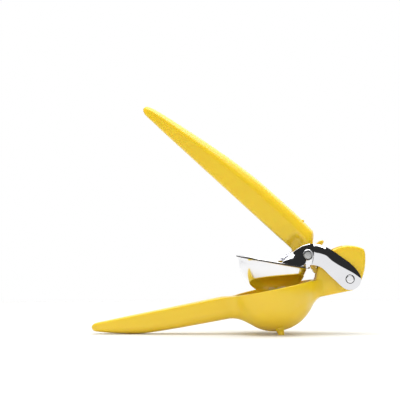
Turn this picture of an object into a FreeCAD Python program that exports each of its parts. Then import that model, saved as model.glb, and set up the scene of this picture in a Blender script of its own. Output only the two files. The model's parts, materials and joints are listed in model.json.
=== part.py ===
import FreeCAD, Part
import math
import os

# Geared two-handle citrus press, all lengths in mm, all angles in degrees.
# A bowl with a long handle carries a fixed gear. A steel press cup swings on the
# gear's axis by two arms, and the upper handle turns on the arms, geared to the bowl.

os.makedirs("parts", exist_ok=True)

# ---- bowl ----
bowl_radius = 42.0          # outside of the ball that shapes the bowl
bowl_wall = 2.5
bowl_drop = 1.5             # ball centre below the rim plane
slot_width = 2.6            # juice slots along the bottom
slot_pitch = 5.8
slot_rows = 2               # rows on each side of the middle
slot_circle = 20.0          # slots end on this radius
nub_radius = 3.2            # small feet under the bowl
nub_spread = 14.0           # each foot's distance from the middle plane
nub_along = -2.0            # feet from the bowl's axis, along
foot_height = 2.99          # feet below the bottom of the ball

# ---- lower handle ----
lower_reach = 186.0         # bowl centre to handle tip
lower_top = 1.5             # handle's flat face above the bowl rim
lower_depth = 23.6          # depth of the handle where it meets the bowl
lower_half = 12.0           # half its full width
lower_lap = 12.0            # handle runs this far in under the bowl's side
handle_wall = 2.6
cover_thick = 2.2           # lids that close the cored handles
cover_gap = 0.1
back_round = 7.0            # corner rounds of both handles, on the back
face_round = 2.4            # and along the flat inner face
core_from_tip = 22.0        # solid tip before the hollow starts
core_from_bowl = 10.0

# ---- gears ----
gear_module = 8.0 / 3.0
drive_teeth = 14            # whole-circle count of the upper handle's sector
fixed_teeth = 22            # whole-circle count of the bowl's sector
drive_cut = 5               # teeth that are really there
fixed_cut = 5
pressure_angle = 20.0
gear_half = 6.0             # half the gear width
backlash = 0.25
insert_gap = 0.05           # gear insert in its slot, each side
tooth_gap = 0.7             # free space round moving teeth

# ---- pivots ----
pivot_behind = 33.3         # lower pin behind the bowl's side
pivot_drop = 6.0            # and below the rim plane
carrier_angle = 159.7       # pin 2 to pin 1 with the press closed
pin_radius = 3.0
head_overhang = 1.1         # head beyond the pin's radius
pin_head_height = 1.5
head_chamfer = 0.35
head_sink = 0.8             # depth of the ring that the head sits in
head_ring_gap = 1.0         # ring beyond the head
cap_post = 0.6              # pin's end spigot inside its cap
post_step = 0.8             # spigot's radius below the pin's
run_gap = 0.05              # radial running clearance
seat_gap = 0.02
bush_wall = 1.5
washer_width = 3.2          # washer beyond the pin's radius
washer_thick = 0.8
washer_gap = 0.1            # washer to the boss that turns on it
boss_margin = 0.4           # boss beyond the washer's edge

# ---- arms and block ----
arm_face = 18.0             # outer face of each arm from the middle plane
arm_sheet = 1.6
arm_turn_in = 5.2           # how far the arm's top edge turns inward
arm_end = 11.0              # round end about pin 2
block_half = 12.2           # half width of the block and of the handle's hub
block_radius = 33.0         # round back of the block about pin 2
block_bottom = -17.8
arm_bend = 6.0              # bend between the curved wall and the flat bar
arm_wall_start = -79.0      # where the wall starts round the cup, in plan
disc_wall = 4.85            # each gear insert's round body, outside its bush
pad_rise = 1.4              # flat pad round the upper pin, above the arm's face
block_front = 165.5         # the block's round back, from angle to angle about pin 2
block_back = 50.5
block_lap = 8.0             # how far the block runs in under the bowl's side
block_heel = 1.0            # pin 2 to the end of the block's flat bottom
block_waist = (14.6, 1.6)   # pin 2 to the middle of the block's rear face

# ---- press cup ----
cup_gap = 4.6               # dome to the inside of the bowl, all round
cup_beyond = 1.5            # closed cup's centre beyond the bowl's, away from the hinge
cup_lift = 4.7              # rim above pin 2, press frame
cup_rise = 1.9              # dome centre above the rim plane
cup_sheet = 1.4
flange_width = 2.5

# ---- upper handle ----
upper_reach = 218.8         # pin 1 to the tip
upper_face = -5.9           # handle's flat inner face from pin 1
upper_depth = 28.6
upper_half = 14.0
hub_wall = 1.1              # hub outside the gear insert's round body
upper_core_from_tip = 24.0
upper_core_from_hub = 4.0
neck_start = 24.0           # from here to the hub it is as narrow as the block
neck_blend = 18.0
hub_lap = 4.0               # handle's shell ends this far short of pin 1
bead_radius = 1.6           # small raised bead on the back
bead_along = -25.6          # from pin 1
bead_sink = 0.9
bead_half = 3.0
key_length = 20.0           # key of the gear insert, back from pin 1
key_low = -1.0
key_high = 9.0
key_root = -5.0

# ---- rest pose ----
press_lift = 21.0           # press opened from closed
press_more = 25.0           # further opening that the stops allow
floor_depth = 80.0          # more than any depth below the bowl rim
high_over = 60.0            # more than any height of a cut's top over its pin
tiny = 1.0                  # overshoot of cutting tools
least_round = 0.4           # smallest corner round inside a handle
lap = 0.05                  # overlap of pieces joined into one solid

handle_lift = press_lift * (1.0 + fixed_teeth / drive_teeth)
centre_distance = gear_module * (drive_teeth + fixed_teeth) / 2.0
block_inner_half = gear_half + tooth_gap
arm_inner = arm_face - arm_sheet
boss_half = arm_inner - washer_thick
pad_face = arm_face + pad_rise
bowl_inner = bowl_radius - bowl_wall
bush_radius = pin_radius + run_gap + bush_wall
pin_head_radius = pin_radius + head_overhang
head_ring = pin_head_radius + head_ring_gap
washer_radius = pin_radius + washer_width
boss_radius = washer_radius + boss_margin
gear_disc = bush_radius + disc_wall
hub_radius = gear_disc + hub_wall
lower_pivot = (bowl_radius + pivot_behind, -pivot_drop)   # in the bowl's frame: along, up
cup_radius = bowl_inner - cup_gap
flange_radius = cup_radius + flange_width
cup_centre = (-lower_pivot[0] - cup_beyond, cup_lift)     # rim centre from pin 2, press frame


def vec(x, y, z):
    return FreeCAD.Vector(x, y, z)


def polar(radius, angle, centre=(0.0, 0.0)):
    turn = math.radians(angle)
    return (centre[0] + radius * math.cos(turn), centre[1] + radius * math.sin(turn))


upper_pivot = polar(centre_distance, carrier_angle)   # in the press frame, from pin 2


def point(pair, y=0.0):
    return vec(pair[0], y, pair[1])


def smooth(stations, x):
    """Monotone cubic through a few (place, value) stations."""
    places = [s[0] for s in stations]
    values = [s[1] for s in stations]
    steps = [b - a for a, b in zip(places, places[1:])]
    slopes = [(b - a) / h for a, b, h in zip(values, values[1:], steps)]
    tangents = [slopes[0]]
    for left, right in zip(slopes, slopes[1:]):
        same = left * right > 0.0
        tangents.append(2.0 * left * right / (left + right) if same else 0.0)
    tangents.append(slopes[-1])
    x = min(max(x, places[0]), places[-1])
    i = max(k for k in range(len(steps)) if places[k] <= x)
    t = (x - places[i]) / steps[i]
    rise = 3.0 * t * t - 2.0 * t ** 3
    lead = t ** 3 - 2.0 * t * t + t
    trail = t ** 3 - t * t
    bend = steps[i] * (lead * tangents[i] + trail * tangents[i + 1])
    return values[i] * (1.0 - rise) + values[i + 1] * rise + bend


def prism(outline, half_width):
    """Side outline of edges or points, made symmetric about the middle plane."""
    if isinstance(outline, Part.Wire):
        wire = outline
    else:
        corners = [point(p) for p in outline]
        wire = Part.makePolygon(corners + corners[:1])
    face = Part.Face(wire)
    face.translate(vec(0, -half_width, 0))
    return face.extrude(vec(0, 2.0 * half_width, 0))


def drum(radius, y_low, y_high, centre=(0.0, 0.0)):
    """Cylinder along Y."""
    return Part.makeCylinder(radius, y_high - y_low, point(centre, y_low), vec(0, 1, 0))


def ring(outer, inner, y_low, y_high, centre=(0.0, 0.0)):
    return drum(outer, y_low, y_high, centre).cut(drum(inner, y_low - tiny, y_high + tiny, centre))


def wedge(radius, start, stop, half_width, centre=(0.0, 0.0)):
    """Pie slice about a Y axis, from angle start to angle stop."""
    middle = (start + stop) / 2.0
    first = polar(radius, start, centre)
    last = polar(radius, stop, centre)
    arc = Part.Arc(point(first), point(polar(radius, middle, centre)), point(last)).toShape()
    sides = [Part.makeLine(point(last), point(centre)), Part.makeLine(point(centre), point(first))]
    return prism(Part.Wire([arc] + sides), half_width)


def mirrored(shape):
    return shape.mirror(vec(0, 0, 0), vec(0, 1, 0))


# ---- gear teeth ----
def involute(angle):
    return math.tan(angle) - angle


def tooth(count, at_angle, half_width, centre=(0.0, 0.0)):
    """One involute tooth, root included, centred on at_angle."""
    pitch = gear_module * count / 2.0
    base = pitch * math.cos(math.radians(pressure_angle))
    tip = pitch + gear_module
    foot = pitch - 1.25 * gear_module - tiny
    start = involute(math.radians(pressure_angle))
    pitch_half = math.pi / (2.0 * count) - backlash / (2.0 * pitch)
    radii = [foot, base] + [base + (tip - base) * k / 6.0 for k in range(1, 7)]
    flank = []
    for radius in radii:
        lean = involute(math.acos(min(1.0, base / radius)))
        flank.append((radius, math.degrees(pitch_half + start - lean)))
    outline = [polar(r, at_angle + a, centre) for r, a in flank]
    outline += [polar(r, at_angle - a, centre) for r, a in reversed(flank)]
    return prism(outline, half_width)


def sector_span(count, angles):
    edge = 135.0 / count
    return min(angles) - edge, max(angles) + edge


def gear_sector(count, angles, half_width, centre=(0.0, 0.0)):
    root = gear_module * count / 2.0 - 1.25 * gear_module
    body = wedge(root, *sector_span(count, angles), half_width, centre)
    return body.fuse([tooth(count, a, half_width, centre) for a in angles])


drive_angles = [carrier_angle - 180.0 + k * 360.0 / drive_teeth for k in range(drive_cut)]
fixed_angles = [carrier_angle + (0.5 - k) * 360.0 / fixed_teeth for k in range(fixed_cut)]


# ---- handle shells ----
def handle_section(x, low, high, half, low_round, high_round):
    """Rounded rectangle across a handle at x, closed with four arcs."""
    limit = 0.98 * min(half, (high - low) / 2.0)
    a = min(low_round, limit)
    b = min(high_round, limit)
    corners = [(half, low, a, 1, 1), (half, high, b, 1, -1), (-half, high, b, -1, -1), (-half, low, a, -1, 1)]
    edges = []
    previous = None
    first = None
    for y, z, r, out, up in corners:
        along_y = vec(x, y - out * r, z)
        along_z = vec(x, y, z + up * r)
        bend = r * (1.0 - math.sqrt(0.5))
        middle = vec(x, y - out * bend, z + up * bend)
        ends = (along_y, along_z) if out * up > 0 else (along_z, along_y)
        if previous:
            edges.append(Part.makeLine(previous, ends[0]))
        edges.append(Part.Arc(ends[0], middle, ends[1]).toShape())
        first = first or ends[0]
        previous = ends[1]
    edges.append(Part.makeLine(previous, first))
    return Part.Wire(edges)


def handle_body(tip, end, depths, halves, shrink=0.0, slab=None, rows=16):
    """Loft along X. The flat face is z = 0 and the back is at -depth.
    shrink insets it by a wall, and a slab keeps only that much behind the flat face."""
    wires = []
    for k in range(rows + 1):
        share = k / rows
        s = (end - tip) * share ** 1.5
        depth = smooth(depths, s) - shrink
        half = smooth(halves, s) - shrink
        low = -slab if slab else -depth
        back = face_round if slab else max(back_round - shrink, tiny)
        wires.append(handle_section(tip + s, low, 0.0, half, back, max(face_round - shrink, least_round)))
    return Part.makeLoft(wires, True, False)


# ---- bowl body ----
def make_bowl():
    centre = vec(0, 0, -bowl_drop)
    ball = Part.makeSphere(bowl_radius, centre)
    hollow = Part.makeSphere(bowl_inner, centre)
    above = Part.makeCylinder(2 * bowl_radius, 2 * bowl_radius)
    bowl = ball.cut(above).cut(hollow)
    for side in (-1, 1):
        start = vec(nub_along, side * nub_spread, -floor_depth)
        foot = Part.makeCylinder(nub_radius, floor_depth - bowl_radius, start)
        bowl = bowl.fuse(foot.cut(hollow))
    for k in range(-slot_rows, slot_rows):
        across = (k + 0.5) * slot_pitch
        reach = math.sqrt(slot_circle ** 2 - across ** 2)
        corner = vec(-reach, across - slot_width / 2.0, -floor_depth)
        slot = Part.makeBox(2.0 * reach, slot_width, floor_depth - bowl_radius / 2.0, corner)
        bowl = bowl.cut(slot)
    return bowl


def bowl_envelope():
    """What the handle and the block may not enter: the ball and the space over it."""
    ball = Part.makeSphere(bowl_radius, vec(0, 0, -bowl_drop))
    return ball.fuse(Part.makeCylinder(bowl_radius, 3.0 * bowl_radius, vec(0, 0, -bowl_drop)))


def make_block():
    """Behind the bowl: round back, straight bottom, and the slot that the gears run in."""
    px, pz = lower_pivot
    top_start = polar(block_radius, block_back, lower_pivot)
    top_middle = polar(block_radius, (block_back + block_front) / 2.0, lower_pivot)
    top_end = polar(block_radius, block_front, lower_pivot)
    bottom_end = (px + block_heel, block_bottom)
    waist = (px + block_waist[0], pz + block_waist[1])
    inside = bowl_radius - block_lap
    top = Part.Arc(point(top_start), point(top_middle), point(top_end)).toShape()
    back = Part.Arc(point(bottom_end), point(waist), point(top_start)).toShape()
    front = [point(top_end), point((bowl_radius, 0.0)), point((inside, 0.0)), point((inside, block_bottom))]
    lines = [Part.makeLine(a, b) for a, b in zip(front, front[1:] + [point(bottom_end)])]
    block = prism(Part.Wire([top] + lines + [back]), block_half)
    block = block.cut(bowl_envelope())
    block = block.fuse(drum(boss_radius, -boss_half + washer_gap, boss_half - washer_gap, lower_pivot))
    root = gear_module * fixed_teeth / 2.0 - 1.25 * gear_module
    low, high = sector_span(fixed_teeth, fixed_angles)
    tip = gear_module * (drive_teeth / 2.0 + 1.0) + tooth_gap
    reach = (block_radius ** 2 + centre_distance ** 2 - tip ** 2) / (2.0 * block_radius * centre_distance)
    open_end = carrier_angle - press_lift - press_more - math.degrees(math.acos(reach))
    sweep = wedge(2.0 * block_radius, open_end, high + 1.0, block_inner_half, lower_pivot)
    block = block.cut(sweep.cut(drum(root - insert_gap, -arm_face, arm_face, lower_pivot)))
    block = block.cut(wedge(root, low, high, gear_half + insert_gap, lower_pivot))
    slot_half = gear_half + insert_gap
    block = block.cut(drum(gear_disc + insert_gap, -slot_half, slot_half, lower_pivot))
    return block.cut(drum(bush_radius + seat_gap, -arm_face, arm_face, lower_pivot))


def make_fixed_gear():
    gear = gear_sector(fixed_teeth, fixed_angles, gear_half, lower_pivot)
    gear = gear.fuse(drum(gear_disc, -gear_half, gear_half, lower_pivot))
    return gear.cut(drum(bush_radius + seat_gap, -arm_face, arm_face, lower_pivot))


def hollow(core_tip, reach, core_end, depths, halves):
    """The hollow inside a handle, open at the flat face, and the lid that closes it."""
    inner_depths = [(p - core_tip, d) for p, d in depths]
    inner_halves = [(p - core_tip, h) for p, h in halves]
    core = handle_body(core_tip - reach, core_end, inner_depths, inner_halves, handle_wall)
    core = core.fuse(core.translated(vec(0, 0, tiny)))
    lid_halves = [(p, h - cover_gap) for p, h in inner_halves]
    lid_tip = core_tip + cover_gap - reach
    lid_end = core_end - cover_gap
    lid = handle_body(lid_tip, lid_end, inner_depths, lid_halves, handle_wall, cover_thick)
    return core, lid


lower_depths = [(0.0, 5.0), (1.6, 7.8), (5.0, 9.2), (27.0, 15.4), (52.0, 20.2), (100.0, 22.4), (150.0, 23.6)]
lower_halves = [(0.0, 2.5), (1.6, 4.6), (20.0, 8.4), (70.0, 11.0), (130.0, 12.0), (160.0, 12.0)]


def scaled(stations, full):
    """The same stations with their largest value brought to full."""
    largest = max(value for _, value in stations)
    return [(place, value * full / largest) for place, value in stations]


def make_lower_handle():
    depths = scaled(lower_depths, lower_depth)
    halves = scaled(lower_halves, lower_half)
    body = handle_body(-lower_reach, -bowl_radius + lower_lap, depths, halves)
    core, lid = hollow(core_from_tip, lower_reach, -bowl_radius - core_from_bowl, depths, halves)
    for shape in (body, core, lid):
        shape.translate(vec(0, 0, lower_top))
    return body.cut(core).cut(bowl_envelope()), lid


# ---- press ----
def make_cup():
    cx, cz = cup_centre
    centre = vec(cx, 0, cz + cup_rise)
    dome = Part.makeSphere(cup_radius, centre)
    above = Part.makeCylinder(2 * cup_radius, 2 * cup_radius, vec(cx, 0, cz))
    flange = Part.makeCylinder(flange_radius, cup_sheet, vec(cx, 0, cz - cup_sheet))
    hollow = Part.makeSphere(cup_radius - cup_sheet, centre)
    cup = dome.cut(above).fuse(flange).cut(hollow)
    tip = gear_module * (drive_teeth / 2.0 + 1.0)
    relief = drum(tip + tooth_gap, -block_inner_half, block_inner_half, upper_pivot)
    return cup.cut(relief)


arm_top = [(-68.8, 4.7), (-60.1, 14.8), (-54.8, 20.9), (-49.4, 25.4), (-43.7, 28.0), (-36.6, 28.7),
           (-30.1, 27.7), (-22.5, 25.4), (-11.4, 20.1), (-2.7, 15.7), (3.7, 11.4), (8.4, 6.7), (10.5, 3.0)]
arm_low = [(-37.0, 7.6), (-31.5, 7.0), (-26.5, 4.6), (-21.5, 0.9), (-14.7, -3.5), (-9.4, -7.2), (-4.0, -10.25)]
rim_clear = (4.8, 0.6)      # step in the lower edge that clears the bowl's rim
rim_start = 6.4
turn_share = 0.7            # thickest turned edge, as a share of its drop
turn_full = 8.0             # drop at which the turned edge leans all the way
turn_drop = [(-42.0, 1.0), (-37.0, 8.4), (-28.0, 8.0), (-20.0, 10.2), (-8.0, 8.6), (2.0, 5.0), (8.6, 1.8)]


def curve(stations, start, stop, rows=16):
    places = [start + (stop - start) * k / rows for k in range(rows + 1)]
    line = Part.BSplineCurve()
    line.interpolate([vec(x, 0, smooth(stations, x)) for x in places])
    return line.toShape()


def arm_prism():
    """Everything inside an arm's side outline: over pin 1, down to the round end about pin 2."""
    first, last = arm_top[0], arm_top[-1]
    low_end, low_start = arm_low[-1], arm_low[0]
    end = Part.Arc(point(last), point(polar(arm_end, -45.0)), point(low_end)).toShape()
    rim = cup_centre[1] - cup_sheet
    clear_rim = point((low_start[0] - rim_clear[0], low_start[1] - rim_clear[1]))
    rim_end = point((low_start[0] - rim_start, rim))
    corners = [point(low_start), clear_rim, rim_end, point((first[0], rim)), point(first)]
    lines = [Part.makeLine(a, b) for a, b in zip(corners, corners[1:])]
    top = curve(arm_top, first[0], last[0], 26)
    low = curve(arm_low, low_end[0], low_start[0])
    return prism(Part.Wire([top, end, low] + lines), 2.0 * flange_radius)


def wall_line(inset):
    """Plan line of the right wall, set in by inset: round the cup rim, a bend, then straight."""
    cx = cup_centre[0]
    radius = flange_radius - inset
    bend = arm_bend + inset
    side = inset - arm_face
    knee = (cx + math.sqrt((radius + bend) ** 2 - (side - bend) ** 2), side - bend)
    to_knee = math.degrees(math.atan2(knee[1], knee[0] - cx))
    half_way = (arm_wall_start + to_knee) / 2.0
    plan = [polar(radius, arm_wall_start, (cx, 0.0)), polar(radius, half_way, (cx, 0.0))]
    plan += [polar(radius, to_knee, (cx, 0.0)), polar(bend, (to_knee + 270.0) / 2.0, knee)]
    plan += [(knee[0], side), (arm_end + tiny, side)]
    flat = [vec(x, y, -floor_depth) for x, y in plan]
    return [Part.Arc(*flat[:3]).toShape(), Part.Arc(*flat[2:5]).toShape(), Part.makeLine(*flat[4:])]


def turned_edge():
    """The arm's top edge, leaning inward over the block's sides."""
    sections = []
    start, stop = turn_drop[0][0], turn_drop[-1][0]
    rows = 14
    for k in range(rows + 1):
        x = start + (stop - start) * k / rows
        drop = smooth(turn_drop, x)
        lean = arm_turn_in * min(1.0, drop / turn_full)
        top = smooth(arm_top, x)
        thick = min(arm_sheet, turn_share * drop)
        outside = lap - arm_face
        edge = lean - arm_face
        root = top - drop - tiny
        corners = [vec(x, outside, root), vec(x, outside, root + tiny), vec(x, edge, top)]
        corners += [vec(x, edge, top - thick), vec(x, -arm_inner - lap, root)]
        sections.append(Part.makePolygon(corners + corners[:1]))
    return Part.makeLoft(sections, True, True)


def make_arm():
    """Right arm: it follows the cup rim, bends into a flat bar and its top edge turns in."""
    outer = wall_line(0.0)
    inner = wall_line(arm_sheet)
    ends = [Part.makeLine(outer[k].Vertexes[k].Point, inner[k].Vertexes[k].Point) for k in (0, -1)]
    face = Part.Face(Part.Wire(Part.__sortEdges__(outer + inner + ends)))
    solid = arm_prism()
    wall = face.extrude(vec(0, 0, 2.0 * floor_depth)).common(solid)
    first = turn_drop[0][0]
    edge = [(x, smooth(arm_top, x) - drop) for x, drop in turn_drop]
    over = [(arm_end + tiny, 2.0), (arm_end + tiny, high_over), (first, high_over)]
    bevel = prism([(first, smooth(arm_top, first) + tiny)] + edge + over, flange_radius + tiny)
    arm = wall.cut(bevel).fuse(turned_edge())
    arm = arm.fuse(drum(washer_radius, -pad_face, -arm_inner, upper_pivot))
    rim = Part.makeCylinder(flange_radius + tiny, cup_sheet, point((cup_centre[0], cup_centre[1] - cup_sheet)))
    arm = arm.cut(rim)
    for centre, seat in ((upper_pivot, pad_face), ((0.0, 0.0), arm_face)):
        arm = arm.cut(drum(pin_radius + seat_gap, -flange_radius, 0.0, centre))
        arm = arm.cut(drum(head_ring, -seat - tiny, head_sink - seat, centre))
    return arm


def make_pin(centre, seat):
    """Headed pin, its cap on the far side, centred on a pivot."""
    face = seat - head_sink
    pin = drum(pin_radius, -face, face, centre)
    head = drum(pin_head_radius, -face - pin_head_height, -face, centre)
    outer_edges = [e for e in head.Edges if e.BoundBox.YMax < -face - pin_head_height / 2.0]
    head = head.makeChamfer(head_chamfer, [e for e in outer_edges if len(e.Vertexes) == 1])
    socket = pin_radius - post_step
    post = drum(socket, face, face + cap_post, centre)
    cap = mirrored(head).cut(drum(socket + seat_gap, face - tiny, face + cap_post + seat_gap, centre))
    return pin.fuse(head).fuse(post), cap


def make_bush(centre, half):
    return ring(bush_radius, pin_radius + run_gap, -half, half, centre)


def make_washer(centre):
    return ring(washer_radius, pin_radius + seat_gap, -arm_inner, washer_thick - arm_inner, centre)


# ---- upper handle ----
upper_depths = [(0.0, 6.4), (1.8, 8.2), (12.0, 10.9), (43.0, 16.7), (75.0, 21.9), (107.0, 26.0), (142.0, 28.3),
                (178.0, 28.6), (208.0, 27.1), (216.0, 24.5)]
upper_halves = [(0.0, 2.5), (1.8, 4.8), (20.0, 9.0), (80.0, 12.4), (130.0, 14.0)]
end_face = [(-12.0, 22.6), (-10.0, 21.2), (-2.7, 13.5), (4.0, 6.0)]   # end of the back, over pin 1
heel_back = 17.0            # heel that carries the hub
heel_inset = 0.8
heel_top = [(-4.0, 13.0), (-17.0, 10.0)]
beyond_hub = 20.0


def make_upper_handle():
    """Shell, lid and the hub that the gear insert sits in, in the handle's own frame."""
    neck = upper_reach - neck_start
    depths = scaled(upper_depths, upper_depth)
    wide = scaled(upper_halves, upper_half)
    halves = wide + [(neck - neck_blend, upper_half), (neck, block_half), (upper_reach, block_half)]
    flip = (vec(0, 0, 0), vec(1, 0, 0), 180.0)
    body = handle_body(-upper_reach, -hub_lap, depths, halves)
    core_end = -neck_start - upper_core_from_hub
    core, lid = hollow(upper_core_from_tip, upper_reach, core_end, depths, halves)
    for shape in (body, core, lid):
        shape.rotate(*flip)
        shape.translate(vec(0, 0, upper_face))
    outside = [(beyond_hub, end_face[-1][1]), (beyond_hub, high_over), (end_face[0][0], high_over)]
    body = body.cut(prism(end_face + outside, flange_radius))
    heel_foot = [(-heel_back, upper_face), (-hub_lap, -hub_radius + heel_inset), (0.0, 0.0)]
    body = body.fuse(prism(heel_foot + heel_top, block_half)).fuse(drum(hub_radius, -block_half, block_half))
    body = body.fuse(drum(boss_radius, -boss_half + washer_gap, boss_half - washer_gap))
    bead_centre = (bead_along, upper_face + smooth(depths, upper_reach + bead_along) - bead_sink)
    body = body.fuse(drum(bead_radius, -bead_half, bead_half, bead_centre))
    slot = drum(gear_disc + insert_gap, -gear_half - insert_gap, gear_half + insert_gap)
    tongue = prism(tongue_outline(insert_gap), gear_half + insert_gap)
    low, high = sector_span(drive_teeth, drive_angles)
    free = wedge(2.0 * upper_depth, low - 1.0, high, gear_half + insert_gap)
    body = body.cut(core).cut(slot).cut(tongue).cut(free)
    return body.cut(drum(bush_radius + seat_gap, -arm_face, arm_face)), lid


def tongue_outline(gap):
    """Key of the gear insert, reaching back into the handle."""
    back = -key_length - gap
    return [(0.0, key_root - gap), (back, key_low - gap), (back, key_high + gap), (0.0, key_high + gap)]


def make_drive_gear():
    gear = gear_sector(drive_teeth, drive_angles, gear_half)
    gear = gear.fuse(drum(gear_disc, -gear_half, gear_half)).fuse(prism(tongue_outline(0.0), gear_half))
    return gear.cut(drum(bush_radius + seat_gap, -arm_face, arm_face))


# ---- place every piece ----
def place(shapes, lift, pivot, own_pivot=(0.0, 0.0)):
    """Turn shapes about own_pivot by lift and carry that point to pivot, in the bowl's frame."""
    for shape in shapes:
        shape.rotate(point(own_pivot), vec(0, 1, 0), lift)
        shape.translate(point(pivot) - point(own_pivot))


# the feet and the handle's underside both touch the table
foot = (nub_along, -bowl_drop - bowl_radius - foot_height)
slopes = []
for step in range(int(lower_reach - bowl_radius)):
    rise = lower_top - smooth(scaled(lower_depths, lower_depth), step) - foot[1]
    slopes.append(math.degrees(math.atan2(rise, foot[0] + lower_reach - step)))
bowl_tilt = min(slopes)

rest_angle = carrier_angle - press_lift
upper_at_rest = polar(centre_distance, rest_angle, lower_pivot)

lower_shell, lower_lid = make_lower_handle()
base = {
    "juice_bowl": make_bowl(),
    "rear_block": make_block(),
    "lower_handle": lower_shell,
    "lower_handle_cover": lower_lid,
    "fixed_gear": make_fixed_gear(),
    "lower_pivot_bush": make_bush(lower_pivot, boss_half - washer_gap),
}

right_arm = make_arm()
lower_pin, lower_cap = make_pin((0.0, 0.0), arm_face)
upper_pin, upper_cap = make_pin(upper_pivot, pad_face)
lower_washer = make_washer((0.0, 0.0))
upper_washer = make_washer(upper_pivot)
press = {
    "press_cup": make_cup(),
    "right_press_arm": right_arm,
    "left_press_arm": mirrored(right_arm),
    "lower_pivot_pin": lower_pin,
    "lower_pivot_cap": lower_cap,
    "right_lower_washer": lower_washer,
    "left_lower_washer": mirrored(lower_washer),
    "upper_pivot_pin": upper_pin,
    "upper_pivot_cap": upper_cap,
    "right_upper_washer": upper_washer,
    "left_upper_washer": mirrored(upper_washer),
}

upper_shell, upper_lid = make_upper_handle()
handle = {
    "upper_handle": upper_shell,
    "upper_handle_cover": upper_lid,
    "drive_gear": make_drive_gear(),
    "upper_pivot_bush": make_bush((0.0, 0.0), boss_half - washer_gap),
}

place(press.values(), press_lift, lower_pivot)
place(handle.values(), handle_lift, upper_at_rest)
nodes = {**base, **press, **handle}

# stand it on the table: bowl end up by the tilt, lowest point of the handle at z = 0,
# and the feet cut flat there
for shape in nodes.values():
    shape.rotate(vec(0, 0, 0), vec(0, 1, 0), -bowl_tilt)
table = nodes["lower_handle"].BoundBox.ZMin
below = Part.makeBox(1000, 1000, floor_depth, vec(-500, -500, table - floor_depth))
nodes["juice_bowl"] = nodes["juice_bowl"].cut(below)
low_x = min(shape.BoundBox.XMin for shape in nodes.values())
high_x = max(shape.BoundBox.XMax for shape in nodes.values())
shift = vec(-(low_x + high_x) / 2.0, 0, -table)
for name, shape in nodes.items():
    shape.translate(shift)
    whole = shape.removeSplitter()
    whole.exportStep("parts/" + name + ".step")
    print(name, "solids", len(whole.Solids), "valid", whole.isValid(), "volume", round(whole.Volume))


def on_table(pair):
    spot = point(pair)
    spot = FreeCAD.Rotation(vec(0, 1, 0), -bowl_tilt).multVec(spot)
    return [round(c / 1000.0, 6) for c in spot + shift]


print("tilt", bowl_tilt)
print("press pivot", on_table(lower_pivot))
print("handle pivot", on_table(upper_at_rest))
print("bowl centre", on_table((0.0, 0.0)))
print("size", round(high_x - low_x, 2), round(max(s.BoundBox.ZMax for s in nodes.values()), 2))
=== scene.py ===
import bpy
import json
import math
import numpy as np
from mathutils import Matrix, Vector


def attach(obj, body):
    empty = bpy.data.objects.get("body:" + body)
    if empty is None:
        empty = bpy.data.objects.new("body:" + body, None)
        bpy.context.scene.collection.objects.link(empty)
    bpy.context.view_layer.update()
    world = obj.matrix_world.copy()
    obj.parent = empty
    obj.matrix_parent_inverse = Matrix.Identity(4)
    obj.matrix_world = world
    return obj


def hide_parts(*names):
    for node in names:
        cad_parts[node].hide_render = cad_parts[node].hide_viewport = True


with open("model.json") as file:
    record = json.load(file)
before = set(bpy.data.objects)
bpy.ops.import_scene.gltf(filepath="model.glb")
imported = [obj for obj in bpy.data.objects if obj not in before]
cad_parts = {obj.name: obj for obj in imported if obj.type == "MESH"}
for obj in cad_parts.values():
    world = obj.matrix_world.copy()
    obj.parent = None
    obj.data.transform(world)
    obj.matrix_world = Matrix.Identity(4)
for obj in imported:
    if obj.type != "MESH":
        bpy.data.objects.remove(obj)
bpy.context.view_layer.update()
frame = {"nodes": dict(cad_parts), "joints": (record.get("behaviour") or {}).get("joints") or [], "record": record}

mm = 0.001

# where each moving part has its own origin, and how far it is turned about Y at rest
bowlTilt = 11.6
pressLift = 21.0
gearRatio = 22 / 14
joints = {joint["name"]: Vector(joint["pos_m"]) / mm for joint in frame["joints"]}
pinLow = joints["press_pivot"]
pinHigh = joints["handle_pivot"]
pinFromBowl = (75.3, -6.0)  # lower pin from the bowl's rim centre, along and up


def turned(x, z, angle):
    a = math.radians(angle)
    return x * math.cos(a) + z * math.sin(a), z * math.cos(a) - x * math.sin(a)


backX, backZ = turned(*pinFromBowl, -bowlTilt)
frames = {
    "base": (pinLow.x - backX, pinLow.z - backZ, -bowlTilt),
    "press": (pinLow.x, pinLow.z, pressLift - bowlTilt),
    "handle": (pinHigh.x, pinHigh.z, pressLift * (1 + gearRatio) - bowlTilt),
}
betweenPins = pinHigh - pinLow
hubOnPress = turned(betweenPins.x, betweenPins.z, -(pressLift - bowlTilt))  # upper pin in the press's frame


def toTable(points, body):
    # millimetres in a body's own frame to metres on the table
    originX, originZ, angle = frames[body]
    points = np.asarray(points, float)
    a = math.radians(angle)
    x = originX + points[..., 0] * math.cos(a) + points[..., 2] * math.sin(a)
    z = originZ + points[..., 2] * math.cos(a) - points[..., 0] * math.sin(a)
    return np.stack([x, points[..., 1], z], -1) * mm


def easedCurve(stations, x):
    # monotone cubic through a few (place, value) stations
    places = np.array([s[0] for s in stations], float)
    values = np.array([s[1] for s in stations], float)
    steps = np.diff(places)
    slopes = np.diff(values) / steps
    tangents = np.zeros(len(values))
    tangents[0], tangents[-1] = slopes[0], slopes[-1]
    for k in range(1, len(slopes)):
        if slopes[k - 1] * slopes[k] > 0:
            tangents[k] = 2 * slopes[k - 1] * slopes[k] / (slopes[k - 1] + slopes[k])
    x = np.clip(x, places[0], places[-1])
    i = np.clip(np.searchsorted(places, x, "right") - 1, 0, len(steps) - 1)
    t = (x - places[i]) / steps[i]
    rise = 3 * t ** 2 - 2 * t ** 3
    lean = (t ** 3 - 2 * t ** 2 + t) * tangents[i] + (t ** 3 - t ** 2) * tangents[i + 1]
    return values[i] * (1 - rise) + values[i + 1] * rise + steps[i] * lean


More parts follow.
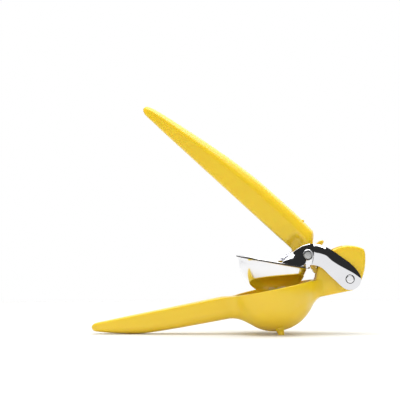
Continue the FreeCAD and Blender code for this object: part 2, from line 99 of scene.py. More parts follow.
def eased(t):
    # 0 to 1 with a level start and end
    t = min(max(t, 0), 1)
    return t * t * (3 - 2 * t)


# making and cutting meshes
def newPiece(name, points, faces, body, finish, node=None, sharpAngle=38):
    mesh = bpy.data.meshes.new(name)
    mesh.from_pydata([tuple(p) for p in np.asarray(points).reshape(-1, 3)], [], faces)
    mesh.update()
    mesh.validate()
    mesh.shade_smooth()
    mesh.set_sharp_from_angle(angle=math.radians(sharpAngle))
    piece = bpy.data.objects.new(name, mesh)
    bpy.context.scene.collection.objects.link(piece)
    mesh.materials.append(finish)
    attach(piece, body)
    if node:
        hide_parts(node)
    return piece


def gridFaces(rows, columns, wrapRows=False, wrapColumns=False):
    faces = []
    for i in range(rows if wrapRows else rows - 1):
        for k in range(columns if wrapColumns else columns - 1):
            ahead, beside = (i + 1) % rows, (k + 1) % columns
            here, there = i * columns, ahead * columns
            faces.append((here + k, here + beside, there + beside, there + k))
    return faces


def loftPiece(name, sections, body, finish, node=None, capStart=True, capEnd=True, sharpAngle=38):
    # closed sections skinned along the piece, each end closed flat
    grid = np.asarray(sections)
    rows, columns = grid.shape[:2]
    faces = gridFaces(rows, columns, wrapColumns=True)
    if capStart:
        faces.append(tuple(range(columns))[::-1])
    if capEnd:
        faces.append(tuple((rows - 1) * columns + k for k in range(columns)))
    return newPiece(name, toTable(grid, body), faces, body, finish, node, sharpAngle)


def lathePiece(name, profile, centre, axis, body, finish, node=None, sides=96, sharpAngle=38):
    # profile is (radius, height) pairs round a closed outline; axis "z" or "y", centre in the body's frame
    rings = []
    for turn in range(sides):
        a = 2 * math.pi * turn / sides
        c, s = math.cos(a), math.sin(a)
        if axis == "z":
            rings.append([(centre[0] + r * c, centre[1] + r * s, centre[2] + h) for r, h in profile])
        else:
            rings.append([(centre[0] + r * c, centre[1] + h, centre[2] - r * s) for r, h in profile])
    faces = gridFaces(sides, len(profile), wrapRows=True, wrapColumns=True)
    return newPiece(name, toTable(rings, body), faces, body, finish, node, sharpAngle)


def settle(piece):
    # keeps what the modifiers made and drops the modifiers
    graph = bpy.context.evaluated_depsgraph_get()
    made = bpy.data.meshes.new_from_object(piece.evaluated_get(graph), depsgraph=graph)
    piece.modifiers.clear()
    old = piece.data
    piece.data = made
    bpy.data.meshes.remove(old)
    return piece


def carve(piece, cutter, sharpAngle=38, lining=None):
    # lining is the finish of the new faces, where it isn't the piece's own
    cut = piece.modifiers.new("cut", "BOOLEAN")
    if lining:
        cutter.data.materials.append(lining)
        cut.material_mode = "TRANSFER"
    cut.operation = "DIFFERENCE"
    cut.solver = "EXACT"
    cut.object = cutter
    settle(piece)
    bpy.data.objects.remove(cutter)
    piece.data.shade_smooth()
    piece.data.set_sharp_from_angle(angle=math.radians(sharpAngle))
    return piece


def slabCutter(name, outline, low, high, body):
    # an outline of (x, z) pushed along Y from low to high
    count = len(outline)
    points = [(x, y, z) for y in (low, high) for x, z in outline]
    faces = [tuple(range(count)), tuple(range(2 * count - 1, count - 1, -1))]
    faces += [(k, k + count, (k + 1) % count + count, (k + 1) % count) for k in range(count)]
    mesh = bpy.data.meshes.new(name)
    mesh.from_pydata([tuple(p) for p in toTable(points, body)], [], faces)
    cutter = bpy.data.objects.new(name, mesh)
    bpy.context.scene.collection.objects.link(cutter)
    return cutter


def arcPoints(centre, radius, start, stop, count):
    angles = np.radians(np.linspace(start, stop, count))
    return [(centre[0] + radius * math.cos(a), centre[1] + radius * math.sin(a)) for a in angles]


def fullRing(centre, radius):
    return arcPoints(centre, radius, 0, 352.5, 48)


def boreThrough(piece, centre, radius, body, reach=20.0):
    return carve(piece, slabCutter("boreTool", fullRing(centre, radius), -reach, reach, body))


# finishes
class Wire:
    # a node's output that can be used in a sum
    def __init__(self, tree, socket):
        self.tree = tree
        self.socket = socket

    def maths(self, kind, first, second):
        node = self.tree.nodes.new("ShaderNodeMath")
        node.operation = kind
        for place, value in enumerate((first, second)):
            if isinstance(value, Wire):
                self.tree.links.new(value.socket, node.inputs[place])
            else:
                node.inputs[place].default_value = value
        return Wire(self.tree, node.outputs[0])

    def __add__(self, other):
        return self.maths("ADD", self, other)

    def __radd__(self, other):
        return self.maths("ADD", other, self)

    def __sub__(self, other):
        return self.maths("SUBTRACT", self, other)

    def __rsub__(self, other):
        return self.maths("SUBTRACT", other, self)

    def __mul__(self, other):
        return self.maths("MULTIPLY", self, other)

    def __rmul__(self, other):
        return self.maths("MULTIPLY", other, self)


class Nodes:
    # one shader tree, its node maker and a few ready mixes
    def __init__(self, tree):
        self.tree = tree

    def put(self, sockets, place, value):
        if isinstance(value, Wire):
            self.tree.links.new(value.socket, sockets[place])
        else:
            sockets[place].default_value = value

    def node(self, kind, settings=None, sockets=None, output=0):
        node = self.tree.nodes.new(kind)
        for name, value in (settings or {}).items():
            if name == "stops":
                ramp = node.color_ramp
                while len(ramp.elements) < len(value):
                    ramp.elements.new(0.5)
                for element, (place, colour) in zip(ramp.elements, value):
                    element.position = place
                    element.color = colour
            else:
                setattr(node, name, value)
        for place, value in (sockets or {}).items():
            self.put(node.inputs, place, value)
        return Wire(self.tree, node.outputs[output])

    def places(self):
        return self.node("ShaderNodeTexCoord", output=3)

    def noise(self, vector, scale, detail=2.0, roughness=0.5):
        sockets = {"Vector": vector, "Scale": scale, "Detail": detail, "Roughness": roughness}
        return self.node("ShaderNodeTexNoise", {}, sockets)

    def mixColours(self, factor, first, second):
        sockets = {0: factor, 6: first, 7: second}
        return self.node("ShaderNodeMix", {"data_type": "RGBA"}, sockets, output=2)

    def fade(self, value, low, high):
        # 0 below low, 1 above high, smooth between
        settings = {"interpolation_type": "SMOOTHSTEP"}
        return self.node("ShaderNodeMapRange", settings, {"Value": value, "From Min": low, "From Max": high})

    def bump(self, height, strength, distance):
        return self.node("ShaderNodeBump", {}, {"Strength": strength, "Distance": distance, "Height": height})


class Finish(Nodes):
    def __init__(self, name, constants):
        self.material = bpy.data.materials.new(name)
        self.material.use_nodes = True
        super().__init__(self.material.node_tree)
        self.shader = self.tree.nodes["Principled BSDF"]
        for socket, value in constants.items():
            self.shader.inputs[socket].default_value = value

    def feed(self, socket, wire):
        self.tree.links.new(wire.socket, self.shader.inputs[socket])


mouldedYellow = {
    "constants": {"Specular IOR Level": 0.8, "Subsurface Weight": 0.3, "Subsurface Radius": (1.0, 0.55, 0.08),
                  "Subsurface Scale": 0.005},
    "deep": (0.800, 0.530, 0.003, 1),
    "light": (0.860, 0.600, 0.006, 1),
    "cloudScale": 22.0,    # slow drift of colour, per metre
    "speckScale": 420.0,
    "grainScale": 2600.0,  # fine moulded texture
    "grainHeight": 0.00002,
    "gloss": 0.27,
    "glossDrift": 0.10,
}


def makeYellow(look):
    finish = Finish("mouldedYellow", look["constants"])
    places = finish.places()
    cloud = finish.noise(places, look["cloudScale"], 3.0)
    speck = finish.noise(places, look["speckScale"], 2.0)
    finish.feed("Base Color", finish.mixColours(cloud * 0.8 + speck * 0.2, look["deep"], look["light"]))
    finish.feed("Roughness", look["gloss"] + cloud * look["glossDrift"])
    grain = finish.noise(places, look["grainScale"], 2.0, 0.6)
    finish.feed("Normal", finish.bump(grain, 0.5, look["grainHeight"]))
    return finish.material


polishedSteel = {
    "bright": (0.84, 0.84, 0.86, 1),
    "dull": (0.73, 0.73, 0.75, 1),
    "smearScale": 60.0,
    "lineScale": (120.0, 1800.0, 1800.0),  # polishing lines run along the press
    "lineHeight": 0.000004,
    "gloss": 0.035,
    "smear": 0.07,
}


# a darker, rougher copy of the polished steel, for the upper pin heads, which look grey rather than bright
darkerRougherSteel = {**polishedSteel, "bright": (0.56, 0.56, 0.55, 1), "dull": (0.40, 0.40, 0.40, 1), "gloss": 0.3}


def makeSteel(name, look):
    finish = Finish(name, {"Metallic": 1.0})
    places = finish.places()
    smear = finish.noise(places, look["smearScale"], 4.0, 0.6)
    stretched = finish.node("ShaderNodeMapping", {}, {"Vector": places, "Scale": look["lineScale"]})
    lines = finish.noise(stretched, 1.0, 3.0, 0.7)
    finish.feed("Base Color", finish.mixColours(smear * 0.6 + lines * 0.2, look["bright"], look["dull"]))
    finish.feed("Roughness", look["gloss"] + smear * lines * look["smear"])
    finish.feed("Normal", finish.bump(lines, 0.25, look["lineHeight"]))
    return finish.material


# painted shade and painted dark reflection, not a real dark finish of the steel
paintedShadeSteel = {
    "deep": (0.035, 0.034, 0.036, 1),
    "light": (0.09, 0.085, 0.085, 1),
    "cloudScale": 500.0,
    "gloss": 0.35,
    "glossDrift": 0.2,
}


def makePaintedShade(look):
    # painted shade: a near-black colour put on the gap round a pin head, where there is only shade, and on the
    # cup's bare edge as a painted dark reflection
    finish = Finish("paintedShadeSteel", {"Metallic": 0.6})
    cloud = finish.noise(finish.places(), look["cloudScale"], 3.0)
    finish.feed("Base Color", finish.mixColours(cloud, look["deep"], look["light"]))
    finish.feed("Roughness", look["gloss"] + cloud * look["glossDrift"])
    return finish.material


whiteAcetal = {
    "shade": (0.78, 0.78, 0.76, 1),
    "light": (0.86, 0.86, 0.83, 1),
    "cloudScale": 150.0,
    "grainScale": 2200.0,
    "grainHeight": 0.00001,
    "gloss": 0.3,
    "glossDrift": 0.15,
}


def makeAcetal(look):
    finish = Finish("whiteAcetal", {"Specular IOR Level": 0.45})
    places = finish.places()
    cloud = finish.noise(places, look["cloudScale"], 3.0)
    finish.feed("Base Color", finish.mixColours(cloud, look["shade"], look["light"]))
    finish.feed("Roughness", look["gloss"] + cloud * look["glossDrift"])
    finish.feed("Normal", finish.bump(finish.noise(places, look["grainScale"]), 0.4, look["grainHeight"]))
    return finish.material


yellow = makeYellow(mouldedYellow)
steel = makeSteel("polishedSteel", polishedSteel)
headSteel = makeSteel("darkerRougherSteel", darkerRougherSteel)
acetal = makeAcetal(whiteAcetal)
paintedShade = makePaintedShade(paintedShadeSteel)
finishes = {"yellow_nylon": yellow, "polished_steel": steel, "white_acetal": acetal}
print("finishes made")

# camera and light
view = {
    "lookAt": (-0.0278, 0.0, 0.1337),
    "elevation": -1.0,
    "distance": 1.5,
    "width": 0.400,  # of the view, at the object
    "sensor": 36.0,
}


def makeCamera(look):
    camera = bpy.data.objects.new("camera", bpy.data.cameras.new("camera"))
    bpy.context.scene.collection.objects.link(camera)
    rise = math.radians(look["elevation"])
    away = Vector((0, -math.cos(rise), math.sin(rise))) * look["distance"]
    camera.location = Vector(look["lookAt"]) + away
    camera.rotation_euler = (-away).to_track_quat("-Z", "Y").to_euler()
    camera.data.sensor_width = look["sensor"]
    camera.data.lens = look["sensor"] * look["distance"] / look["width"]
    camera.data.clip_end = 100
    bpy.context.scene.camera = camera


lamps = {
    "overhead": {"at": (0.0, -0.05, 1.4), "size": (1.6, 1.0), "watts": 20.0, "seen": True},
    "backRight": {"at": (0.6, 1.0, 1.2), "size": (1.3, 1.3), "watts": 6.0, "seen": True},
    "leftFront": {"at": (-1.2, -1.2, 0.9), "size": (1.0, 1.0), "watts": 6.0, "seen": False},
    "rightFront": {"at": (1.2, -1.0, 0.7), "size": (0.8, 0.8), "watts": 1.5, "seen": False},
}


def makeLamps(looks):
    aim = Vector((0, 0, 0.08))
    for name, look in looks.items():
        data = bpy.data.lights.new(name, "AREA")
        data.shape = "RECTANGLE"
        data.size, data.size_y = look["size"]
        data.energy = look["watts"]
        lamp = bpy.data.objects.new(name, data)
        lamp.location = look["at"]
        lamp.rotation_euler = (aim - Vector(look["at"])).to_track_quat("-Z", "Y").to_euler()
        lamp.visible_glossy = look["seen"]
        bpy.context.scene.collection.objects.link(lamp)


surround = {
    "white": 1.0,
    "soft": 0.57,             # what the walls give, but for mirrors and the view itself
    "dark": 0.03,
    "front": (0.30, 0.52),    # the dark cloth hangs in front, up and over
    "above": (0.10, 0.20),
    "card": (0.22, 0.34),     # and a dark card stands at the right
}


def makeSurround(look):
    world = bpy.data.worlds.new("studio")
    bpy.context.scene.world = world
    world.use_nodes = True
    walls = Nodes(world.node_tree)
    towards = walls.places().socket.node.outputs["Generated"]
    parts = walls.node("ShaderNodeSeparateXYZ", {}, {0: Wire(walls.tree, towards)}).socket.node
    across, depth, height = (Wire(walls.tree, parts.outputs[k]) for k in range(3))
    front = 1 - walls.fade(depth, *look["front"])
    cloth = walls.fade(height, *look["above"])
    card = walls.fade(across, *look["card"]) * walls.fade(height, -0.3, -0.1)
    covered = front * (1 - (1 - cloth) * (1 - card))
    rays = walls.node("ShaderNodeLightPath").socket.node.outputs
    straight, mirrored = Wire(walls.tree, rays["Is Camera Ray"]), Wire(walls.tree, rays["Is Glossy Ray"])
    gap = look["white"] - look["soft"]
    strength = look["soft"] + straight * gap + mirrored * (gap - covered * (look["white"] - look["dark"]))
    world.node_tree.links.new(strength.socket, world.node_tree.nodes["Background"].inputs[1])
    world.node_tree.nodes["Background"].inputs[0].default_value = (1, 1, 1, 1)


paperSheet = {
    "size": 1.3,
    "shade": (0.73, 0.73, 0.72, 1),
    "light": (0.75, 0.75, 0.745, 1),
    "glow": 0.03,     # light through the paper from below
}


def makeFloor(look):
    half = look["size"] / 2
    places = np.linspace(-half, half, 21)
    grid = np.array([[(x, y, 0.0) for x in places] for y in places])
    mesh = bpy.data.meshes.new("paperSheet")
    mesh.from_pydata([tuple(p) for p in grid.reshape(-1, 3)], [], gridFaces(21, 21))
    floor = bpy.data.objects.new("paperSheet", mesh)
    bpy.context.scene.collection.objects.link(floor)
    constants = {"Specular IOR Level": 0.2, "Roughness": 0.7, "Emission Color": (1, 1, 1, 1)}
    paper = Finish("whitePaper", {**constants, "Emission Strength": look["glow"]})
    drift = paper.noise(paper.places(), 4.0, 2.0)
    paper.feed("Base Color", paper.mixColours(drift, look["shade"], look["light"]))
    mesh.materials.append(paper.material)


bpy.context.scene.view_settings.view_transform = "Standard"
makeCamera(view)
makeLamps(lamps)
makeSurround(surround)
makeFloor(paperSheet)
print("camera, light and floor made")

# bowl
bowl = {
    "radius": 42.0,
    "wall": 2.5,
    "drop": 1.5,       # ball centre below the rim
    "rimRound": 0.7,
    "rimMiddle": 40.7,
    "rimDepth": -8.0,
    "slotWidth": 2.6,
    "slotPitch": 5.8,
    "slotRows": 2,
    "slotCircle": 20.0,
    "slotCut": (-60.0, -20.0),      # heights the slot tool spans
    "meltAbout": -9.0,              # height that melted sections are pushed out from
    "skinGap": 0.06,                # keeps two skins from lying on one another
    "nubRadius": 3.2,
    "nubAlong": -2.0,
    "nubSpread": 14.0,
    "nubFlare": 1.8,
    "nubHeights": (-36.0, -46.5),   # where its steps are close
    "nubSole": [-47.6, -50.0],      # below these it is cut off level at the table
    "nubRoot": 0.4,                 # how far it starts inside the bowl's skin
}


def bowlProfile(look):
    outer, drop, lip = look["radius"], look["drop"], look["rimRound"]
    inner = outer - look["wall"]
    outline = []
    for a in np.linspace(-90, -3.2, 46):
        a = math.radians(a)
        outline.append((max(outer * math.cos(a), 0.01), outer * math.sin(a) - drop))
    edge = math.sqrt(outer ** 2 - drop ** 2)
    inside = math.sqrt(inner ** 2 - drop ** 2)
    outline += arcPoints((edge - lip, -lip), lip, 0, 90, 6)
    outline += arcPoints((inside + lip, -lip), lip, 90, 180, 6)
    for a in np.linspace(-3.2, -90, 46):
        a = math.radians(a)
        outline.append((max(inner * math.cos(a), 0.01), inner * math.sin(a) - drop))
    return outline


def roundedSlot(across, reach, half):
    # plan of one juice slot, long in X
    near = arcPoints((reach - half, across), half, -90, 90, 9)
    return near + arcPoints((half - reach, across), half, 90, 270, 9)


def makeBowl(look):
    piece = lathePiece("bowl", bowlProfile(look), (0, 0, 0), "z", "base", yellow, "juice_bowl", sides=160)
    for row in range(-look["slotRows"], look["slotRows"]):
        across = (row + 0.5) * look["slotPitch"]
        reach = math.sqrt(look["slotCircle"] ** 2 - across ** 2)
        plan = roundedSlot(across, reach, look["slotWidth"] / 2)
        count = len(plan)
        points = [(x, y, z) for z in look["slotCut"] for x, y in plan]
        faces = [tuple(range(count))[::-1], tuple(range(count, 2 * count))]
        faces += [(k, (k + 1) % count, (k + 1) % count + count, k + count) for k in range(count)]
        mesh = bpy.data.meshes.new("slotTool")
        mesh.from_pydata([tuple(p) for p in toTable(points, "base")], [], faces)
        tool = bpy.data.objects.new("slotTool", mesh)
        bpy.context.scene.collection.objects.link(tool)
        carve(piece, tool)
    return piece


def makeNubs(look):
    ball, drop = look["radius"] - look["nubRoot"], look["drop"]
    for side, label in ((-1, "right"), (1, "left")):
        sections = []
        for z in list(np.linspace(*look["nubHeights"], 18)) + look["nubSole"]:
            depth = -z - drop
            gap = ball - math.hypot(depth, look["nubSpread"])
            flare = look["nubFlare"] * math.exp(min(gap, 0))  # widens where it leaves the bowl
            radius = look["nubRadius"] + flare
            x, y = look["nubAlong"], side * look["nubSpread"]
            ring = [(x + radius * math.cos(a), y + radius * math.sin(a), z)
                    for a in np.linspace(0, 2 * math.pi, 40, endpoint=False)]
            sections.append(toTable(ring, "base"))
        grid = np.array(sections)
        grid[..., 2] = np.maximum(grid[..., 2], 0.0)
        rows, columns = grid.shape[:2]
        faces = gridFaces(rows, columns, wrapColumns=True)
        faces += [tuple(range(columns))[::-1], tuple((rows - 1) * columns + k for k in range(columns))]
        newPiece(label + "Foot", grid, faces, "base", yellow)


# handles
def handleSection(x, face, depth, half, look, out, waist=0.0, drop=0.0):
    # across a handle: flat inner face, straight sides and a crowned back; out is 1 when the back is up
    # waist draws the sides in below the crown, drop rounds the inner face off at the tip
    crown = look["crown"] * depth
    corner = min(look["corner"] + drop, 0.4 * depth, 0.6 * half)
    sideTop = depth - crown
    right = [(half * t, drop) for t in np.linspace(0, 1 - corner / half, 5)]
    turn = np.radians((22, 45, 68))
    right += [(half - corner + corner * math.sin(a), drop + corner - corner * math.cos(a)) for a in turn]
    right += [(half, z) for z in np.linspace(min(drop + corner, sideTop), sideTop, 9)]
    right += [(half * math.cos(a), sideTop + crown * math.sin(a)) for a in np.radians(np.linspace(7, 90, 13))]
    drawn = []
    for y, z in right:
        drawn.append((y * (1 - waist / half * (1 - eased((z - sideTop + 5.5) / 5.0))), z))
    left = [(-y, z) for y, z in drawn[-2:0:-1]]
    ring = [(x, y, face + out * z) for y, z in drawn + left]
    return ring if out > 0 else ring[::-1]


def softUnion(first, second, blend):
    mix = np.maximum(blend - np.abs(first - second), 0) / blend
    return np.minimum(first, second) - mix * mix * blend / 4


def meltIntoBowl(sections, look, blend):
    # pushes sections out until they run into the bowl's ball with a hollow fillet
    centreZ, ballRadius, drop = look["meltAbout"], look["radius"] - look["skinGap"], look["drop"]
    grid = np.array(sections)
    rays = grid.copy()
    rays[..., 0] = 0
    rays[..., 2] -= centreZ
    reach = np.linalg.norm(rays, axis=-1)
    rays /= reach[..., None]
    origin = grid.copy()
    origin[..., 1] = 0
    origin[..., 2] = centreZ

    def distance(r):
        p = origin + rays * r[..., None]
        ball = np.sqrt(p[..., 0] ** 2 + p[..., 1] ** 2 + (p[..., 2] + drop) ** 2) - ballRadius
        capped = -softUnion(-ball, -(p[..., 2] + 0.5), 0.6)
        return softUnion(r - reach, capped, blend)

    low, high = reach - 0.5, reach + 45.0
    for _ in range(40):  # halves the gap each time
        middle = (low + high) / 2
        inside = distance(middle) < 0
        low, high = np.where(inside, middle, low), np.where(inside, high, middle)
    melted = origin + rays * ((low + high) / 2)[..., None]
    tops = grid[..., 2].max(axis=1, keepdims=True)
    melted[..., 2] = np.minimum(melted[..., 2], tops)
    out = np.hypot(melted[..., 0], melted[..., 1])
    inside = (out < look["rimMiddle"]) & (melted[..., 2] > look["rimDepth"])
    push = np.where(inside, look["rimMiddle"] / np.maximum(out, 0.001), 1.0)
    melted[..., :2] *= push[..., None]
    melted[..., 2] = np.where(inside, np.minimum(melted[..., 2], -0.55), melted[..., 2])
    return melted


lowerHandle = {
    "reach": 185.6,
    "face": 1.5,
    "faceRunOut": (-53.5, -41.0),  # where the flat face comes down to the rim
    "faceDrop": 0.2,
    "grip": 133.0,                 # length from the tip whose steps are closest at the tip
    "joint": (-51, -36.4, -35.6, -26),  # where the steps are close, and where they go on inside the bowl
    "depths": [(0, 5.0), (0.5, 6.6), (1.6, 7.9), (5, 9.2), (27, 15.4), (52, 20.2), (100, 22.3), (150, 23.0),
               (170, 23.0)],
    "halves": [(0, 1.4), (0.5, 2.8), (1.6, 4.0), (5, 5.6), (20, 8.4), (70, 11.0), (130, 12.0), (170, 12.0)],
    "drops": [(0, 3.2), (0.5, 2.2), (1.6, 1.2), (4, 0.3), (7, 0.0), (200, 0.0)],
    "crown": 0.42,
    "corner": 1.6,
    "fillet": 13.0,
}


def makeLowerHandle(look):
    tip = -look["reach"]
    stations = list(tip + look["grip"] * np.linspace(0, 1, 44) ** 1.9)
    stations += list(np.linspace(*look["joint"][:2], 24)) + list(np.linspace(*look["joint"][2:], 12))
    sections = []
    for x in stations:
        depth = float(easedCurve(look["depths"], x - tip))
        half = float(easedCurve(look["halves"], x - tip))
        drop = float(easedCurve(look["drops"], x - tip))
        start, stop = look["faceRunOut"]
        face = look["face"] * (1 - eased((x - start) / (stop - start))) - look["faceDrop"]
        sections.append(handleSection(x, face, depth - look["face"] + face, half, look, -1, 0.0, drop))
    grid = meltIntoBowl(sections, bowl, look["fillet"])
    return loftPiece("lowerHandle", grid, "base", yellow, "lower_handle", capEnd=False)


upperHandle = {
    "reach": 218.8,
    "face": -5.75,
    "depths": [(0, 5.4), (0.5, 6.7), (1.8, 7.8), (5, 9.3), (12, 11.2), (43, 16.9), (75, 22.0), (107, 26.0),
               (142, 28.3), (178, 28.6), (206, 27.6)],
    "halves": [(0, 1.6), (0.5, 3.2), (1.8, 4.6), (5, 6.2), (20, 9.0), (80, 12.4), (130, 14.0), (170, 13.7),
               (191.8, 12.8)],
    "drops": [(0, 3.4), (0.5, 2.6), (1.6, 1.5), (4, 0.4), (7, 0.0), (230, 0.0)],
    "neck": (-27.0, -18.0),
    "waist": 3.8,
    "crown": 0.42,
    "corner": 1.6,
    "hub": 10.5,
    "hubFrom": -3.0,           # from here the under side is the hub's round
    "slopeFrom": -16.0,        # and from here it slopes down to it
    "bore": 4.6,
    "grip": 188.0,             # length from the tip whose steps are closest at the tip
    "joint": (-30, -12, -11.2, 10.3),
    "end": [(-12.0, 21.9), (-10.4, 21.0), (-7.8, 18.9), (-4.8, 14.9), (-2.7, 12.2), (0.0, 10.6), (10.5, 1.0)],
    "endHalf": (-9.0, -2.0),   # where the crown narrows to the hub
    "hubHalf": 10.8,
    "bead": (-25.6, 1.5, 3.2),
}


def makeUpperHandle(look):
    reach, hub = look["reach"], look["hub"]
    stations = list(-reach + look["grip"] * np.linspace(0, 1, 50) ** 1.7)
    stations += list(np.linspace(*look["joint"][:2], 19)) + list(np.linspace(*look["joint"][2:], 30))
    sections = []
    for x in stations:
        s = x + reach
        half = float(easedCurve(look["halves"], s))
        drop = float(easedCurve(look["drops"], s))
        neck = eased((x - look["neck"][0]) / (look["neck"][1] - look["neck"][0]))
        tail = min(max((x - look["endHalf"][0]) / (look["endHalf"][1] - look["endHalf"][0]), 0), 1)
        waist = look["waist"] * neck * (1 - tail)
        half += (look["hubHalf"] - half) * tail
        top = look["face"] + float(easedCurve(look["depths"], s))
        low = look["face"]
        if x > look["end"][0][0]:
            top = float(easedCurve(look["end"], x))
        if x > 0.0:
            top = min(top, math.sqrt(max(hub ** 2 - x * x, 0.3)))
        if x > look["hubFrom"]:
            low = -math.sqrt(max(hub ** 2 - min(x, hub - 0.1) ** 2, 0.3))
        elif x > look["slopeFrom"]:
            go = (x - look["slopeFrom"]) / (look["hubFrom"] - look["slopeFrom"])
            low = look["face"] + go * (-math.sqrt(hub ** 2 - look["hubFrom"] ** 2) - look["face"])
        sections.append(handleSection(x, low, top - low, half, look, 1, waist, drop))
    piece = loftPiece("upperHandle", sections, "handle", yellow, "upper_handle")
    boreThrough(piece, (0.0, 0.0), look["bore"], "handle")
    along, radius, halfLength = look["bead"]
    rise = look["face"] + float(easedCurve(look["depths"], along + reach)) - 0.5
    turn = np.radians((0, 25, 50, 75, 89))
    ends = [(radius * math.cos(a), halfLength + radius * 0.6 * math.sin(a)) for a in turn]
    profile = [(r, -h) for r, h in ends[::-1]] + ends
    lathePiece("thumbBead", profile, (along, 0, rise), "y", "handle", yellow, sides=32)
    return piece


# rear block
block = {
    "half": 12.2,
    "radius": 33.0,           # of the round top, about the lower pin
    "topArc": (165.5, 55.0),
    "backAngle": 50.5,        # the round's direction where the back's curve starts
    "backFrom": 0.09,         # the share of that curve given up to the rounded corner
    "waist": (14.6, 1.6),     # the back's middle, from the lower pin
    "heel": 1.0,              # the back's lower end, along from the lower pin
    "bottom": -17.8,
    "front": (38.0, -1.0, 41.6, -0.4),
    "edge": 2.2,
    "crown": 0.08,
    "corner": 1.0,
    "sweepHalf": 6.7,
    "bore": 4.6,
    "boss": {"radius": 6.6, "chamfer": 0.4, "face": 15.5, "depth": 4.0},
    "rootRadius": 26.0,
    "sweepRadius": 60.0,
    "sweep": (89.0, 176.0),
    "fillet": 10.0,
    "neck": (27, 34, 34.8, 52),  # wide steps, then close ones
    "neckTop": -0.9,
    "neckFoot": 1.0,          # its bottom stands this far above the block's
}


def blockOutline(look):
    px, pz = pinFromBowl
    top = arcPoints(pinFromBowl, look["radius"], *look["topArc"], 40)
    start = np.array(arcPoints(pinFromBowl, look["radius"], look["backAngle"], look["backAngle"], 1)[0])
    waist = np.array((px + look["waist"][0], pz + look["waist"][1]))
    heel = np.array((px + look["heel"], look["bottom"]))
    back = []
    for t in np.linspace(look["backFrom"], 1, 16):  # a gentle curve through three points
        back.append(tuple(start * (1 - t) * (1 - 2 * t) + waist * 4 * t * (1 - t) + heel * t * (2 * t - 1)))
    first, last = np.array(top[-1]), np.array(back[0])
    corner = [tuple(first * (1 - t) ** 2 + start * 2 * t * (1 - t) + last * t * t) for t in (0.25, 0.5, 0.75)]
    frontX, frontZ, rimX, rimZ = look["front"]
    return top + corner + back + [(frontX, look["bottom"]), (frontX, frontZ), (rimX, rimZ)]


def outlineNormals(outline):
    ahead = np.roll(outline, -1, 0) - outline
    behind = outline - np.roll(outline, 1, 0)
    ahead /= np.linalg.norm(ahead, axis=1)[:, None]
    behind /= np.linalg.norm(behind, axis=1)[:, None]
    along = ahead + behind
    along /= np.linalg.norm(along, axis=1)[:, None]
    return np.stack([-along[:, 1], along[:, 0]], -1)


def blockSections(look):
    # the outline in steps across the block, drawn in towards both faces for a round edge
    outline = np.array(blockOutline(look))
    edge = look["edge"]
    across = []
    for a in np.radians(np.linspace(0, 90, 6)):
        across.append((look["half"] - edge + edge * math.sin(a), edge - edge * math.cos(a)))
    steps = [(-y, inset) for y, inset in across[::-1]] + across
    normals = outlineNormals(outline)
    sections = []
    for y, inset in steps:
        sections.append([(x, y, z) for x, z in outline - normals * inset])
    return sections


def makeBlock(look):
    piece = loftPiece("rearBlock", blockSections(look), "base", yellow, "rear_block")
    low, high = look["sweep"]
    ring = arcPoints(pinFromBowl, look["sweepRadius"], low, high, 24)
    ring += arcPoints(pinFromBowl, look["rootRadius"], high, low, 24)
    half = look["sweepHalf"]
    carve(piece, slabCutter("sweepTool", ring, -half, half, "base"))
    boreThrough(piece, pinFromBowl, look["bore"], "base")
    bore, boss = look["bore"], look["boss"]
    wide, depth, chamfer = boss["radius"], boss["depth"], boss["chamfer"]
    profile = [(bore, 0.0), (wide - chamfer, 0.0), (wide, chamfer), (wide, depth), (bore, depth)]
    for side, label in ((-1, "right"), (1, "left")):
        spun = [(r, side * (boss["face"] - h)) for r, h in profile]
        centre = (pinFromBowl[0], 0, pinFromBowl[1])
        lathePiece(label + "LowerBoss", spun, centre, "y", "base", yellow, sides=48)
    return piece


def makeNeck(look):
    # hollow fillet between the block and the bowl
    depth, half = -look["bottom"] - look["neckFoot"], look["half"] - bowl["skinGap"]
    sections = []
    for x in list(np.linspace(*look["neck"][:2], 8)) + list(np.linspace(*look["neck"][2:], 34)):
        sections.append(handleSection(x, look["neckTop"], depth, half, look, -1))
    grid = meltIntoBowl(sections, bowl, look["fillet"])
    return loftPiece("blockNeck", grid, "base", yellow, capStart=False, capEnd=False)


# press
press = {
    "centre": (-76.8, 4.7),
    "dome": 34.9,
    "rise": 1.9,
    "sheet": 1.4,
    "flange": 37.4,
    "bead": 1.05,         # rolled edge of the flange
    "beadDrop": 0.55,
    "inset": 0.3,         # the arms stand this far in from the edge
    "cutEdge": (52, 56),  # the profile's steps that are the bare edge, painted near-black as a painted dark reflection
    "reliefHalf": 6.7,
    "reliefRadius": 22.0,
    "armFace": 18.0,
    "armSheet": 1.6,
    "turnIn": 3.9,
    "curl": (10, 54),     # how far the turned edge leans, from its start to its end
    "armEnd": 11.0,
    "bend": 6.0,
    "earStart": -39.6,    # the crease between the flat bar and the ear
    "earTilt": 0.22,
    "earLean": 0.09,
    "earLeanIn": 0.8,     # the lean comes in over this much past the crease
    "earMiddle": 20.0,
    "earFoot": 0.6,       # the wall starts to lean this far above the rim
    "earRise": 12.5,
    "top": [(-70.6, 4.7), (-62.0, 14.9), (-56.5, 20.8), (-50.6, 25.3), (-43.7, 28.0), (-36.6, 28.7),
            (-30.1, 27.7), (-22.5, 25.4), (-11.4, 20.1), (-2.7, 15.7), (3.7, 11.4), (8.4, 6.7), (10.6, 2.9),
            (11.0, 0.0)],
    "low": [(-70.6, 3.4), (-43.0, 3.6), (-41.6, 6.9), (-37.0, 7.6), (-31.5, 7.0), (-26.5, 4.6), (-21.5, 0.9),
            (-14.7, -3.5), (-9.4, -7.2), (-4.0, -10.25), (0.0, -11.0), (4.0, -10.25), (8.0, -7.5),
            (10.5, -3.3), (11.0, 0.0)],
    "turn": [(-60.0, 0.3), (-50.0, 1.0), (-44.0, 3.0), (-38.0, 8.6), (-28.0, 8.0), (-20.0, 10.2), (-8.0, 8.8),
             (2.0, 6.4), (8.6, 3.4), (11.0, 0.1)],
}


